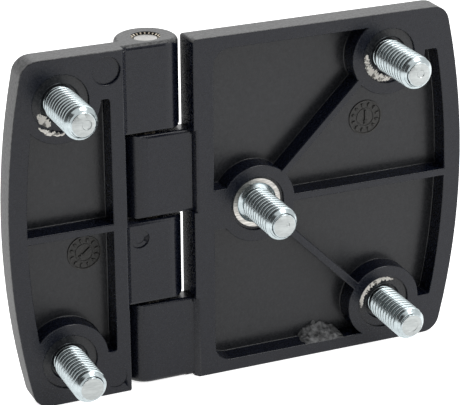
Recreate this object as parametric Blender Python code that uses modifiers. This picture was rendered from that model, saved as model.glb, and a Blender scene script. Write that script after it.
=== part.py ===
"""A heavy duty surface hinge with two unequal moulded leaves, a steel pin and five moulded-in studs.

The pin runs along Z through the origin. X runs across the leaves: the narrow leaf lies at -X and the
wide leaf at +X. The leaves are screwed on from behind, so the studs point to -Y and the round barrel
stands proud at +Y. All values are in metres.
"""

import math

import bmesh
import bpy
from mathutils import Matrix, Vector

MM = 0.001

# The leaves
HEIGHT = 62.2 * MM
NARROW_REACH = 26.75 * MM
WIDE_REACH = 57.65 * MM
NARROW_BOW_RADIUS = 137.0 * MM
WIDE_BOW_RADIUS = 128.0 * MM
LEAF_CORNER_RADIUS = 3.2 * MM
LEAF_THICKNESS = 5.0 * MM
FRONT_EDGE_RADIUS = 0.7 * MM
BACK_TO_PIN = 5.2 * MM
NARROW_ROOT = 5.85 * MM
WIDE_ROOT = 6.35 * MM
NARROW_ROOT_DRAFT = 0.15 * MM
WIDE_ROOT_DRAFT = 0.3 * MM

# The knuckles, from the top down: narrow, wide, narrow, wide
BARREL_RADIUS = 5.4 * MM
KNUCKLE_BACK_RECESS = 1.3 * MM
KNUCKLE_STEP_RUN = 1.1 * MM
NARROW_STEP_TOP = 6.1 * MM
WIDE_STEP_TOP = 7.1 * MM
KNUCKLE_GAP = 0.5 * MM
TOP_KNUCKLE_LENGTH = 15.6 * MM
SECOND_KNUCKLE_LENGTH = 14.9 * MM
THIRD_KNUCKLE_LENGTH = 15.2 * MM
KNUCKLE_EDGE_RADIUS = 0.6 * MM

# The pockets in the backs of the leaves
POCKET_DEPTH = 3.6 * MM
OUTER_RIM = 3.25 * MM
END_RIM = 2.3 * MM
NARROW_ROOT_RIM = 2.55 * MM
WIDE_ROOT_RIM = 3.65 * MM
WIDE_POCKET_CORNER_RADIUS = 3.0 * MM
SLOT_CORNER_RADIUS = 0.6 * MM
NARROW_SLOT_END_RIM = 8.15 * MM
WIDE_SLOT_END_RIM = 7.6 * MM
RIB_WIDTH = 1.35 * MM
DIAGONAL_RIB_ANGLE = 45.0
ROOT_WEB_WIDTH = 7.4 * MM

# The bosses and the studs moulded into them
STUD_TO_END = 7.75 * MM
NARROW_STUD_X = -16.9 * MM
MIDDLE_STUD_X = 18.1 * MM
WIDE_STUD_X = 42.9 * MM
BOSS_RADIUS = 7.0 * MM
THREAD_DIAMETER = 5.9 * MM
STUD_REACH = 11.0 * MM
STUD_END_DIAMETER = 4.4 * MM
STUD_CHAMFER_LENGTH = 1.25 * MM
COLLAR_DIAMETER = 9.0 * MM
COLLAR_THICKNESS = 1.1 * MM
COLLAR_RECESS = 0.5 * MM
COLLAR_GROOVE_DIAMETER = 7.2 * MM
COLLAR_GROOVE_DEPTH = 0.4 * MM
HEAD_ACROSS_FLATS = 7.6 * MM
HEAD_HEIGHT = 1.9 * MM
STUD_CLEARANCE = 0.35 * MM

# The pin
PIN_DIAMETER = 4.5 * MM
PIN_CLEARANCE = 0.25 * MM
PIN_CHAMFER = 0.5 * MM
PIN_END_RECESS = 0.35 * MM

# Places that follow from the sizes above
HALF_HEIGHT = HEIGHT / 2
BACK_Y = -BACK_TO_PIN
FRONT_Y = BACK_Y + LEAF_THICKNESS
KNUCKLE_BACK_Y = BACK_Y + KNUCKLE_BACK_RECESS
STUD_Z = HALF_HEIGHT - STUD_TO_END
NARROW_SLOT_END_Z = HALF_HEIGHT - NARROW_SLOT_END_RIM
WIDE_SLOT_END_Z = HALF_HEIGHT - WIDE_SLOT_END_RIM
POCKET_TOP_Z = HALF_HEIGHT - END_RIM

# How finely round shapes are divided, and how far a tool reaches past what it cuts or joins
ROUND_STEPS = 48
BOW_STEPS = 16
CORNER_STEPS = 6
EDGE_SEGMENTS = 3
KNUCKLE_EDGE_SEGMENTS = 2
TOOL_OVERLAP = 1.0 * MM
STEP_OVERLAP = 0.2 * MM
STEP_LIP = 0.04 * MM
STEP_END_INSET = 0.1 * MM
MERGE_DISTANCE = 0.001 * MM
SHARP_ANGLE = math.radians(30)

PART_COLLECTION = "heavy_duty_hinge"
CUTTER_COLLECTION = "cutters"


def clear_scene():
    for scene_object in list(bpy.data.objects):
        bpy.data.objects.remove(scene_object, do_unlink=True)


def add_collection(name):
    collection = bpy.data.collections.new(name)
    bpy.context.scene.collection.children.link(collection)
    return collection


def add_material(name, colour, roughness, metallic):
    material = bpy.data.materials.new(name)
    material.use_nodes = True
    shader = material.node_tree.nodes["Principled BSDF"]
    shader.inputs["Base Color"].default_value = (*colour, 1.0)
    shader.inputs["Roughness"].default_value = roughness
    shader.inputs["Metallic"].default_value = metallic
    material.diffuse_color = (*colour, 1.0)
    return material


def link_object(name, mesh, collection):
    made = bpy.data.objects.new(name, mesh)
    bpy.data.collections[collection].objects.link(made)
    if collection == CUTTER_COLLECTION:
        made.hide_render = True
        made.display_type = "WIRE"
    return made


def shade_round(mesh):
    mesh.shade_smooth()
    mesh.set_sharp_from_angle(angle=SHARP_ANGLE)


def arc(centre, radius, start, end, steps):
    """Points along an arc about centre, with start and end in degrees and both ends included."""
    points = []
    for step in range(steps + 1):
        angle = math.radians(start + (end - start) * step / steps)
        points.append(Vector(centre) + radius * Vector((math.cos(angle), math.sin(angle))))
    return points


def rounded_corner(before, corner, after, radius):
    """The arc that takes the corner off between two straight lines."""
    corner = Vector(corner)
    to_before = (Vector(before) - corner).normalized()
    to_after = (Vector(after) - corner).normalized()
    half_angle = to_before.angle(to_after) / 2
    centre = corner + (to_before + to_after).normalized() * radius / math.sin(half_angle)
    start = corner + to_before * radius / math.tan(half_angle) - centre
    sweep = start.angle_signed(corner + to_after * radius / math.tan(half_angle) - centre)
    points = []
    for step in range(CORNER_STEPS + 1):
        points.append(centre + Matrix.Rotation(-sweep * step / CORNER_STEPS, 2) @ start)
    return points


def extruded(name, outline, low, high, upright, collection=CUTTER_COLLECTION):
    """A flat outline extruded between low and high.

    An upright outline lies in XY and is extruded along Z. The other kind lies in XZ and goes along Y.
    """
    curve = bpy.data.curves.new(name, "CURVE")
    curve.dimensions = "2D"
    curve.fill_mode = "BOTH"
    curve.extrude = (high - low) / 2
    spline = curve.splines.new("POLY")
    spline.points.add(len(outline) - 1)
    for point, place in zip(spline.points, outline):
        point.co = (place[0], place[1], 0.0, 1.0)
    spline.use_cyclic_u = True
    guide = bpy.data.objects.new(name + "_outline", curve)
    bpy.context.scene.collection.objects.link(guide)
    middle = (low + high) / 2
    if upright:
        guide.location = (0.0, 0.0, middle)
    else:
        guide.location = (0.0, middle, 0.0)
        guide.rotation_euler = (math.pi / 2, 0.0, 0.0)
    bpy.context.view_layer.update()
    graph = bpy.context.evaluated_depsgraph_get()
    mesh = bpy.data.meshes.new_from_object(guide.evaluated_get(graph))
    mesh.name = name
    mesh.transform(guide.matrix_world)
    weld_caps(mesh)
    bpy.data.objects.remove(guide, do_unlink=True)
    return link_object(name, mesh, collection)


def weld_caps(mesh):
    shape = bmesh.new()
    shape.from_mesh(mesh)
    bmesh.ops.remove_doubles(shape, verts=shape.verts, dist=MERGE_DISTANCE)
    bmesh.ops.dissolve_limit(shape, angle_limit=math.radians(0.1), verts=shape.verts, edges=shape.edges)
    bmesh.ops.recalc_face_normals(shape, faces=shape.faces)
    shape.to_mesh(mesh)
    shape.free()


def cylinder_along_y(name, x, z, radius, low, high, sides):
    shape = bmesh.new()
    bmesh.ops.create_cone(
        shape, cap_ends=True, segments=sides, radius1=radius, radius2=radius, depth=high - low
    )
    turn = Matrix.Rotation(math.pi / 2, 4, "X")
    bmesh.ops.transform(shape, matrix=turn, verts=shape.verts)
    mesh = bpy.data.meshes.new(name)
    shape.to_mesh(mesh)
    shape.free()
    shade_round(mesh)
    made = link_object(name, mesh, CUTTER_COLLECTION)
    made.location = (x, (low + high) / 2, z)
    return made


def box(name, start, end, width, low, high):
    """A bar from start to end in XZ, width across, between low and high in Y."""
    run = Vector(end) - Vector(start)
    middle = (Vector(start) + Vector(end)) / 2
    shape = bmesh.new()
    bmesh.ops.create_cube(shape, size=1.0)
    bmesh.ops.scale(shape, vec=(run.length, high - low, width), verts=shape.verts)
    mesh = bpy.data.meshes.new(name)
    shape.to_mesh(mesh)
    shape.free()
    made = link_object(name, mesh, CUTTER_COLLECTION)
    made.location = (middle.x, (low + high) / 2, middle.y)
    made.rotation_euler = (0.0, -math.atan2(run.y, run.x), 0.0)
    return made


def turned(name, profile, collection):
    """A turned shape about local Z. The profile is (radius, height) pairs from the top down."""
    mesh = bpy.data.meshes.new(name)
    edges = [(index, index + 1) for index in range(len(profile) - 1)]
    mesh.from_pydata([(radius, 0.0, height) for radius, height in profile], edges, [])
    made = link_object(name, mesh, collection)
    screw = made.modifiers.new("turn", "SCREW")
    screw.steps = ROUND_STEPS
    screw.render_steps = ROUND_STEPS
    screw.use_merge_vertices = True
    screw.merge_threshold = MERGE_DISTANCE
    screw.use_smooth_shade = False
    return made


def join(target, tool):
    add_boolean(target, tool, "UNION")


def cut(target, tool):
    add_boolean(target, tool, "DIFFERENCE")


def add_boolean(target, tool, operation):
    modifier = target.modifiers.new(tool.name, "BOOLEAN")
    modifier.operation = operation
    modifier.solver = "EXACT"
    modifier.object = tool


def bow_side(side, reach, radius, half_span):
    """The bowed outer side of a leaf, from -half_span up to half_span in Z, at reach from the pin."""
    centre_x = reach - radius
    swing = math.degrees(math.asin(half_span / radius))
    points = arc((centre_x, 0.0), radius, -swing, swing, BOW_STEPS)
    return [Vector((side * point.x, point.y)) for point in points]


def bowed_x(reach, radius, z):
    return reach - radius + math.sqrt(radius**2 - z**2)


def leaf_outline(side, root, reach, bow_radius):
    """A leaf seen from behind: a straight root side, square ends, a bowed outer side and round corners."""
    corner_x = side * bowed_x(reach, bow_radius, HALF_HEIGHT)
    near_z = HALF_HEIGHT - LEAF_CORNER_RADIUS
    bow = bow_side(side, reach, bow_radius, near_z)
    root_x = side * root
    lower = rounded_corner((root_x, -HALF_HEIGHT), (corner_x, -HALF_HEIGHT), bow[0], LEAF_CORNER_RADIUS)
    upper = rounded_corner(bow[-1], (corner_x, HALF_HEIGHT), (root_x, HALF_HEIGHT), LEAF_CORNER_RADIUS)
    ends = [Vector((root_x, HALF_HEIGHT)), Vector((root_x, -HALF_HEIGHT))]
    return ends + lower + bow[1:-1] + upper


def round_front_edges(plate, root):
    """Rounds the front edge of a leaf, all but its straight root side."""
    shape = bmesh.new()
    shape.from_mesh(plate.data)
    edges = []
    for edge in shape.edges:
        at_front = all(abs(vertex.co.y - FRONT_Y) < MERGE_DISTANCE for vertex in edge.verts)
        at_root = all(abs(abs(vertex.co.x) - root) < MERGE_DISTANCE for vertex in edge.verts)
        if at_front and not at_root:
            edges.append(edge)
    bmesh.ops.bevel(
        shape, geom=edges, offset=FRONT_EDGE_RADIUS, segments=EDGE_SEGMENTS, profile=0.5, affect="EDGES"
    )
    shape.to_mesh(plate.data)
    shape.free()
    shade_round(plate.data)


def draft_root(plate, side, root, draft):
    """Leans the root side of a leaf, so that its front edge lies nearer the pin than its back edge."""
    for vertex in plate.data.vertices:
        if abs(abs(vertex.co.x) - root) < MERGE_DISTANCE:
            vertex.co.x -= side * draft * (vertex.co.y - BACK_Y) / LEAF_THICKNESS


def round_knuckle_edges(knuckle, arm_end):
    """Rounds the sharp edges of a knuckle, all but those at the end of its arm, which lies in the leaf."""
    shape = bmesh.new()
    shape.from_mesh(knuckle.data)
    edges = []
    for edge in shape.edges:
        buried = all(abs(vertex.co.x - arm_end) < MERGE_DISTANCE for vertex in edge.verts)
        if edge.calc_face_angle(0.0) > SHARP_ANGLE and not buried:
            edges.append(edge)
    bmesh.ops.bevel(
        shape,
        geom=edges,
        offset=KNUCKLE_EDGE_RADIUS,
        segments=KNUCKLE_EDGE_SEGMENTS,
        profile=0.5,
        affect="EDGES",
    )
    shape.to_mesh(knuckle.data)
    shape.free()
    shade_round(knuckle.data)


def settle_planes(mesh):
    """Puts the points at a leaf's ends and front exactly there, so that joined faces share one plane."""
    for vertex in mesh.vertices:
        if abs(abs(vertex.co.z) - HALF_HEIGHT) < MERGE_DISTANCE:
            vertex.co.z = math.copysign(HALF_HEIGHT, vertex.co.z)
        if abs(vertex.co.y - FRONT_Y) < MERGE_DISTANCE:
            vertex.co.y = FRONT_Y


def knuckle_arm_end(side, root):
    return side * (root + TOOL_OVERLAP)


def knuckle_outline(side, root):
    """One knuckle seen along the pin: a barrel with a flat back and an arm that runs into the leaf."""
    arm_end = knuckle_arm_end(side, root)
    front_angle = math.degrees(math.asin(FRONT_Y / BARREL_RADIUS))
    back_angle = 180 - math.degrees(math.asin(KNUCKLE_BACK_Y / BARREL_RADIUS))
    barrel = arc((0.0, 0.0), BARREL_RADIUS, front_angle, back_angle, ROUND_STEPS)
    barrel = [Vector((side * point.x, point.y)) for point in barrel]
    return [Vector((arm_end, KNUCKLE_BACK_Y)), Vector((arm_end, FRONT_Y))] + barrel


def past_leaf_end(z):
    """The height z, moved past the leaf's end where it lies on it, so that a cut there runs out."""
    if abs(z) > HALF_HEIGHT - MERGE_DISTANCE:
        return z + math.copysign(TOOL_OVERLAP, z)
    return z


def cut_step(leaf, number, side, step_top, top, bottom):
    """Takes the corner off the leaf's back beside a knuckle, down towards the back of its arm."""
    foot_x = step_top - KNUCKLE_STEP_RUN
    outside_y = BACK_Y - TOOL_OVERLAP
    outside_x = step_top + KNUCKLE_STEP_RUN * TOOL_OVERLAP / KNUCKLE_BACK_RECESS
    outline = [(side * foot_x, KNUCKLE_BACK_Y), (side * outside_x, outside_y), (side * foot_x, outside_y)]
    cut(leaf, extruded(f"step_{number}", outline, past_leaf_end(bottom), past_leaf_end(top), upright=True))


def fill_step(leaf, number, side, root, step_top, top, bottom):
    """Fills the inner corner between the arm's back and the leaf, so that one slope joins the two.

    The filling keeps STEP_LIP under the slope that is cut into the leaf, its ends stay STEP_END_INSET
    inside the knuckle's rounded edges, and its other sides are buried.
    """
    slope = KNUCKLE_BACK_RECESS / KNUCKLE_STEP_RUN
    foot_x = step_top - KNUCKLE_STEP_RUN
    foot_y = KNUCKLE_BACK_Y + STEP_LIP
    inner_x = foot_x - STEP_OVERLAP
    outer_x = root + STEP_OVERLAP
    buried_y = KNUCKLE_BACK_Y + TOOL_OVERLAP
    outline = [
        (side * inner_x, foot_y + (foot_x - inner_x) * slope),
        (side * outer_x, foot_y + (foot_x - outer_x) * slope),
        (side * outer_x, buried_y),
        (side * inner_x, buried_y),
    ]
    low = bottom + KNUCKLE_EDGE_RADIUS + STEP_END_INSET
    high = top - KNUCKLE_EDGE_RADIUS - STEP_END_INSET
    join(leaf, extruded(f"slope_{number}", outline, low, high, upright=True))


def add_knuckle(leaf, number, side, root, step_top, span):
    top, bottom = span
    cut_step(leaf, number, side, step_top, top, bottom)
    knuckle = extruded(f"knuckle_{number}", knuckle_outline(side, root), bottom, top, upright=True)
    round_knuckle_edges(knuckle, knuckle_arm_end(side, root))
    settle_planes(knuckle.data)
    join(leaf, knuckle)
    fill_step(leaf, number, side, root, step_top, top, bottom)


def knuckle_spans():
    """The top and bottom of each knuckle, from the top down. The last one ends flush with the leaves."""
    spans = []
    top = HALF_HEIGHT
    for length in (TOP_KNUCKLE_LENGTH, SECOND_KNUCKLE_LENGTH, THIRD_KNUCKLE_LENGTH):
        spans.append((top, top - length))
        top -= length + KNUCKLE_GAP
    spans.append((top, -HALF_HEIGHT))
    return spans


def add_bore(leaf, name):
    radius = PIN_DIAMETER / 2 + PIN_CLEARANCE
    top = HALF_HEIGHT + TOOL_OVERLAP
    bore = turned(name, [(0.0, top), (radius, top), (radius, -top), (0.0, -top)], CUTTER_COLLECTION)
    cut(leaf, bore)


def narrow_pocket_outline():
    """The pocket of the narrow leaf, before the bosses and the rib are left standing in it."""
    root_x = -(NARROW_ROOT + NARROW_ROOT_RIM)
    bow = bow_side(-1, NARROW_REACH - OUTER_RIM, NARROW_BOW_RADIUS - OUTER_RIM, NARROW_SLOT_END_Z)
    top = (root_x, NARROW_SLOT_END_Z)
    bottom = (root_x, -NARROW_SLOT_END_Z)
    lower = rounded_corner(top, bottom, bow[0], SLOT_CORNER_RADIUS)
    upper = rounded_corner(bow[-1], top, bottom, SLOT_CORNER_RADIUS)
    return lower + bow + upper


def wide_pocket_outline():
    """The pocket of the wide leaf. Past the outer studs it narrows to a slot with its own ends."""
    root_x = WIDE_ROOT + WIDE_ROOT_RIM
    bow = bow_side(1, WIDE_REACH - OUTER_RIM, WIDE_BOW_RADIUS - OUTER_RIM, WIDE_SLOT_END_Z)
    top = (root_x, POCKET_TOP_Z)
    bottom = (root_x, -POCKET_TOP_Z)
    lower_stud = (WIDE_STUD_X, -POCKET_TOP_Z)
    upper_stud = (WIDE_STUD_X, POCKET_TOP_Z)
    lower_turn = Vector((WIDE_STUD_X, -WIDE_SLOT_END_Z))
    upper_turn = Vector((WIDE_STUD_X, WIDE_SLOT_END_Z))
    lower_slot = rounded_corner(lower_turn, bow[0], bow[1], SLOT_CORNER_RADIUS)
    upper_slot = rounded_corner(bow[-2], bow[-1], upper_turn, SLOT_CORNER_RADIUS)
    outline = rounded_corner(top, bottom, lower_stud, WIDE_POCKET_CORNER_RADIUS)
    outline += [Vector(lower_stud), lower_turn]
    outline += lower_slot + bow[1:-1] + upper_slot
    outline += [upper_turn, Vector(upper_stud)]
    outline += rounded_corner(upper_stud, top, bottom, WIDE_POCKET_CORNER_RADIUS)
    return outline


def add_pocket(leaf, name, outline, standing):
    """Cuts a pocket into the back of a leaf. What is standing, such as a boss or a rib, is left whole."""
    pocket = extruded(name, outline, BACK_Y - TOOL_OVERLAP, BACK_Y + POCKET_DEPTH, upright=False)
    for island in standing:
        cut(pocket, island)
    cut(leaf, pocket)


def island_depths():
    """The Y range of what stands in a pocket: past the pocket at both ends, so that it is cut clean."""
    return BACK_Y - 2 * TOOL_OVERLAP, BACK_Y + POCKET_DEPTH + TOOL_OVERLAP


def boss(name, x, z):
    low, high = island_depths()
    return cylinder_along_y(name, x, z, BOSS_RADIUS, low, high, ROUND_STEPS)


def rib(name, start, end, width=RIB_WIDTH):
    low, high = island_depths()
    return box(name, start, end, width, low, high)


def diagonal_rib(name, turn):
    """A rib from the middle boss out to a corner boss, up or down as turn is 1 or -1."""
    start = Vector((MIDDLE_STUD_X, 0.0))
    angle = math.radians(turn * DIAGONAL_RIB_ANGLE)
    length = (WIDE_STUD_X - MIDDLE_STUD_X) / math.cos(angle)
    end = start + length * Vector((math.cos(angle), math.sin(angle)))
    return rib(name, start, end)


def stud_levels():
    """How far the ends of the collar and of the head lie from the leaf's back, outwards positive."""
    collar_top = -COLLAR_RECESS
    collar_bottom = collar_top - COLLAR_THICKNESS
    return collar_top, collar_bottom, collar_bottom - HEAD_HEIGHT


def stud_profile():
    collar_top, collar_bottom, _ = stud_levels()
    thread = THREAD_DIAMETER / 2
    collar = COLLAR_DIAMETER / 2
    groove = COLLAR_GROOVE_DIAMETER / 2
    groove_bottom = collar_top - COLLAR_GROOVE_DEPTH
    return [
        (0.0, STUD_REACH),
        (STUD_END_DIAMETER / 2, STUD_REACH),
        (thread, STUD_REACH - STUD_CHAMFER_LENGTH),
        (thread, groove_bottom),
        (groove, groove_bottom),
        (groove, collar_top),
        (collar, collar_top),
        (collar, collar_bottom),
        (0.0, collar_bottom),
    ]


def add_stud(name, x, z, material):
    """A stud with a round collar and a hexagonal head that keeps it from turning in the moulding."""
    stud = turned(name, stud_profile(), PART_COLLECTION)
    stud.location = (x, BACK_Y, z)
    stud.rotation_euler = (math.pi / 2, 0.0, 0.0)
    stud.data.materials.append(material)
    collar_top, collar_bottom, head_bottom = stud_levels()
    head_top = (collar_top + collar_bottom) / 2
    radius = HEAD_ACROSS_FLATS / 2 / math.cos(math.pi / 6)
    head = cylinder_along_y(name + "_head", x, z, radius, BACK_Y - head_top, BACK_Y - head_bottom, 6)
    join(stud, head)
    return stud


def add_stud_seat(leaf, name, x, z):
    """The moulding's own hollow round a stud's collar and head, open to the back of the leaf."""
    _, collar_bottom, head_bottom = stud_levels()
    collar_radius = COLLAR_DIAMETER / 2 + STUD_CLEARANCE
    seat_bottom = BACK_Y - collar_bottom + STUD_CLEARANCE
    low = BACK_Y - TOOL_OVERLAP
    cut(leaf, cylinder_along_y(name + "_collar_seat", x, z, collar_radius, low, seat_bottom, ROUND_STEPS))
    head_radius = (HEAD_ACROSS_FLATS / 2 + STUD_CLEARANCE) / math.cos(math.pi / 6)
    head_end = BACK_Y - head_bottom + STUD_CLEARANCE
    cut(leaf, cylinder_along_y(name + "_head_seat", x, z, head_radius, BACK_Y, head_end, 6))


def add_leaf(name, side, root, reach, bow_radius, material):
    outline = leaf_outline(side, root, reach, bow_radius)
    plate = extruded(name, outline, BACK_Y, FRONT_Y, False, PART_COLLECTION)
    round_front_edges(plate, root)
    settle_planes(plate.data)
    plate.data.materials.append(material)
    return plate


def add_narrow_leaf(material, spans, studs):
    leaf = add_leaf("narrow_leaf", -1, NARROW_ROOT, NARROW_REACH, NARROW_BOW_RADIUS, material)
    draft_root(leaf, -1, NARROW_ROOT, NARROW_ROOT_DRAFT)
    add_knuckle(leaf, 1, -1, NARROW_ROOT, NARROW_STEP_TOP, spans[0])
    add_knuckle(leaf, 3, -1, NARROW_ROOT, NARROW_STEP_TOP, spans[2])
    standing = [boss(f"{name}_boss", x, z) for name, (x, z) in studs.items()]
    standing.append(rib("narrow_rib", (-NARROW_REACH, 0.0), (-NARROW_ROOT, 0.0)))
    add_pocket(leaf, "narrow_pocket", narrow_pocket_outline(), standing)
    for name, (x, z) in studs.items():
        add_stud_seat(leaf, name, x, z)
    add_bore(leaf, "narrow_bore")
    return leaf


def add_wide_leaf(material, spans, studs):
    leaf = add_leaf("wide_leaf", 1, WIDE_ROOT, WIDE_REACH, WIDE_BOW_RADIUS, material)
    draft_root(leaf, 1, WIDE_ROOT, WIDE_ROOT_DRAFT)
    add_knuckle(leaf, 2, 1, WIDE_ROOT, WIDE_STEP_TOP, spans[1])
    add_knuckle(leaf, 4, 1, WIDE_ROOT, WIDE_STEP_TOP, spans[3])
    standing = [boss(f"{name}_boss", x, z) for name, (x, z) in studs.items()]
    standing.append(rib("middle_rib", (MIDDLE_STUD_X, 0.0), (WIDE_REACH, 0.0)))
    standing.append(rib("root_web", (WIDE_ROOT, 0.0), (MIDDLE_STUD_X, 0.0), ROOT_WEB_WIDTH))
    standing.append(diagonal_rib("upper_rib", 1))
    standing.append(diagonal_rib("lower_rib", -1))
    add_pocket(leaf, "wide_pocket", wide_pocket_outline(), standing)
    for name, (x, z) in studs.items():
        add_stud_seat(leaf, name, x, z)
    add_bore(leaf, "wide_bore")
    return leaf


def add_pin(material):
    end = HALF_HEIGHT - PIN_END_RECESS
    radius = PIN_DIAMETER / 2
    profile = [
        (0.0, end),
        (radius - PIN_CHAMFER, end),
        (radius, end - PIN_CHAMFER),
        (radius, -end + PIN_CHAMFER),
        (radius - PIN_CHAMFER, -end),
        (0.0, -end),
    ]
    pin = turned("hinge_pin", profile, PART_COLLECTION)
    pin.data.materials.append(material)
    return pin


def add_pivot(pieces):
    """An empty on the pin's axis that carries the wide leaf and its studs as they turn."""
    pivot = bpy.data.objects.new("wide_leaf_pivot", None)
    bpy.data.collections[PART_COLLECTION].objects.link(pivot)
    for piece in pieces:
        piece.parent = pivot


def build():
    clear_scene()
    add_collection(PART_COLLECTION)
    add_collection(CUTTER_COLLECTION)
    moulding = add_material("black_moulding", (0.045, 0.046, 0.05), 0.55, 0.0)
    zinc = add_material("zinc_plated_steel", (0.72, 0.73, 0.72), 0.28, 1.0)
    pin_steel = add_material("pin_steel", (0.68, 0.67, 0.64), 0.35, 1.0)

    narrow_studs = {
        "narrow_stud_upper": (NARROW_STUD_X, STUD_Z),
        "narrow_stud_lower": (NARROW_STUD_X, -STUD_Z),
    }
    wide_studs = {
        "wide_stud_upper": (WIDE_STUD_X, STUD_Z),
        "wide_stud_middle": (MIDDLE_STUD_X, 0.0),
        "wide_stud_lower": (WIDE_STUD_X, -STUD_Z),
    }
    spans = knuckle_spans()
    add_narrow_leaf(moulding, spans, narrow_studs)
    wide_pieces = [add_wide_leaf(moulding, spans, wide_studs)]
    for name, (x, z) in narrow_studs.items():
        add_stud(name, x, z, zinc)
    for name, (x, z) in wide_studs.items():
        wide_pieces.append(add_stud(name, x, z, zinc))
    add_pin(pin_steel)
    add_pivot(wide_pieces)


build()
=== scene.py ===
"""The looks of the heavy duty hinge: its moulding, threaded studs and knurled pin, seen from behind."""

import math

import bmesh
import bpy
from mathutils import Matrix, Vector, noise


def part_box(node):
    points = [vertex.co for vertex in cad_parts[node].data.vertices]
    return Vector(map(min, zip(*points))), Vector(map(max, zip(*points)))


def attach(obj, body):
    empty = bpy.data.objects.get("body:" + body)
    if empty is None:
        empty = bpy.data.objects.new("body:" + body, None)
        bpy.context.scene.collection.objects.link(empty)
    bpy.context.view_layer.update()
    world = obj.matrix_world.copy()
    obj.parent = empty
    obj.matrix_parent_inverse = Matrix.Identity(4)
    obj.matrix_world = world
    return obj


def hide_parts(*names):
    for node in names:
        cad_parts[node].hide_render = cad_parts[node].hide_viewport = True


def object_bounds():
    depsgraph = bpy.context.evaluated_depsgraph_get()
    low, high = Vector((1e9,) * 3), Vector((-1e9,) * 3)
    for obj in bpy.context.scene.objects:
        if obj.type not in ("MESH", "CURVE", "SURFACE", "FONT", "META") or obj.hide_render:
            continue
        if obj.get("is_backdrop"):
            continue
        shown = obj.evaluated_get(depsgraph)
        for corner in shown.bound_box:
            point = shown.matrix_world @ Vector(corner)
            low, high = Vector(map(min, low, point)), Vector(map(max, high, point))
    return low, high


MM = 0.001

# The camera, fitted to the photograph's straight edges, studs and bore
CAMERA_AZIMUTH = -23.222
CAMERA_ELEVATION = 22.334
CAMERA_ROLL = -0.347
CAMERA_TARGET = Vector((11.71, -7.82, 2.24)) * MM
CAMERA_DISTANCE = 360.2 * MM
CAMERA_LENS = 166.11

# Planes and places of the moulding, in the frame of the solids
BACK_Y = -5.2 * MM
FLOOR_Y = -1.6 * MM
KNUCKLE_BACK_Y = -3.9 * MM
STUD_Z = 23.35 * MM
NARROW_STUD_X = -16.9 * MM
MIDDLE_STUD_X = 18.1 * MM
WIDE_STUD_X = 42.9 * MM

# Fillets of the moulding: pocket floors, rims of the back, steps at the knuckles' flat backs
FLOOR_FILLET = 0.4 * MM
RIM_ROUNDING = 0.2 * MM
STEP_ROUNDING = 0.12 * MM
MARK_MARGIN = 0.1
ROUNDING_STEPS = 12
# The knuckles: their barrel, the rounding between barrel and flat back, and that of the outer ends,
# which runs from FLAT_START on the flat back round the barrel to the angle OUTLINE_END
BARREL_RADIUS = 5.4 * MM
BARREL_ROUNDINGS = {"narrow_leaf": 3.5 * MM, "wide_leaf": 3.9 * MM}
END_ROUNDING = 0.9 * MM
FLAT_START = -4.9 * MM
OUTLINE_END = math.radians(172)
# The free corner of each root: its wall's distance from the pin at the front, the wall's lean and the radius
ROOT_FRONT_Y = -0.2 * MM
ROOT_CORNERS = {
    "narrow_leaf": (5.7 * MM, 0.03, 0.3 * MM),
    "wide_leaf": (6.05 * MM, 0.06, 0.6 * MM),
}

# Lowest and highest Z of each leaf's knuckles in mm, with some air at the ends
KNUCKLES = {
    "narrow_leaf": ((15.2, 32.0), (-15.9, -0.1)),
    "wide_leaf": ((-0.2, 15.3), (-32.0, -15.8)),
}
# Marks of the ejector pins: X, Z and radius in mm, the plane that each is sunk in, and its depth in mm
RECESSES = {
    "narrow_leaf": (
        (-8.9, 27.8, 2.4, BACK_Y, 0.5),
        (-8.7, -27.8, 2.0, BACK_Y, 0.1),
        (-3.3, -3.4, 1.75, KNUCKLE_BACK_Y, 0.3),
        (-3.3, -3.4, 0.95, KNUCKLE_BACK_Y, 0.38),
    ),
    "wide_leaf": (),
}
# Flakes round the studs: name, place, height over the back, first and last angle, radii in mm, body
RESIDUES = (
    ("narrow_upper_grey", NARROW_STUD_X, STUD_Z, -0.42, 200, 245, 3.3, 4.7, "frame_side"),
    ("narrow_upper_pale", NARROW_STUD_X, STUD_Z, -0.02, 222, 276, 4.9, 5.7, "frame_side"),
    ("wide_upper", WIDE_STUD_X, STUD_Z, -0.42, 172, 282, 3.5, 4.9, "door_side"),
    ("wide_lower", WIDE_STUD_X, -STUD_Z, -0.42, 62, 188, 3.8, 4.85, "door_side"),
)
FLAKE_STEP = 2.5
FLAKE_CREST = 0.09
# Date dials on the pocket floors: X, Z and radius in mm, and the pointer's angle in degrees
NARROW_DIAL = (-12.55, -5.17, 3.1, 40.0)
WIDE_DIAL = (40.25, 11.33, 3.2, 92.0)
DIAL_TICKS = 12
DIAL_FOOT = -0.05
# The torn gate on the wide leaf's lower pocket wall, in mm: its ends along X, the wall, and its section
# as (Y, rise over the wall)
GATE_START = 27.4
GATE_END = 35.3
GATE_WALL_Z = -28.8
GATE_COLUMNS = 26
GATE_SECTION = (
    (-5.22, 0.1),
    (-4.6, 0.75),
    (-3.8, 1.15),
    (-3.0, 1.6),
    (-2.3, 2.1),
    (-1.75, 2.7),
    (-1.45, 2.8),
)
GATE_FOOT = ((-1.45, -0.2), (-5.15, -0.2))

# The rounded ends of the leaves, for telling the outside from the pockets
NARROW_REACH = 26.75 * MM
WIDE_REACH = 57.65 * MM
NARROW_BOW_RADIUS = 137.0 * MM
WIDE_BOW_RADIUS = 128.0 * MM
HALF_HEIGHT = 31.1 * MM
SKIN_DEPTH = 1.0 * MM

# The M6 thread
PITCH = 1.0 * MM
THREAD_RADIUS = 2.95 * MM
THREAD_DEPTH = 0.57 * MM
THREAD_SIDES = 96
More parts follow.
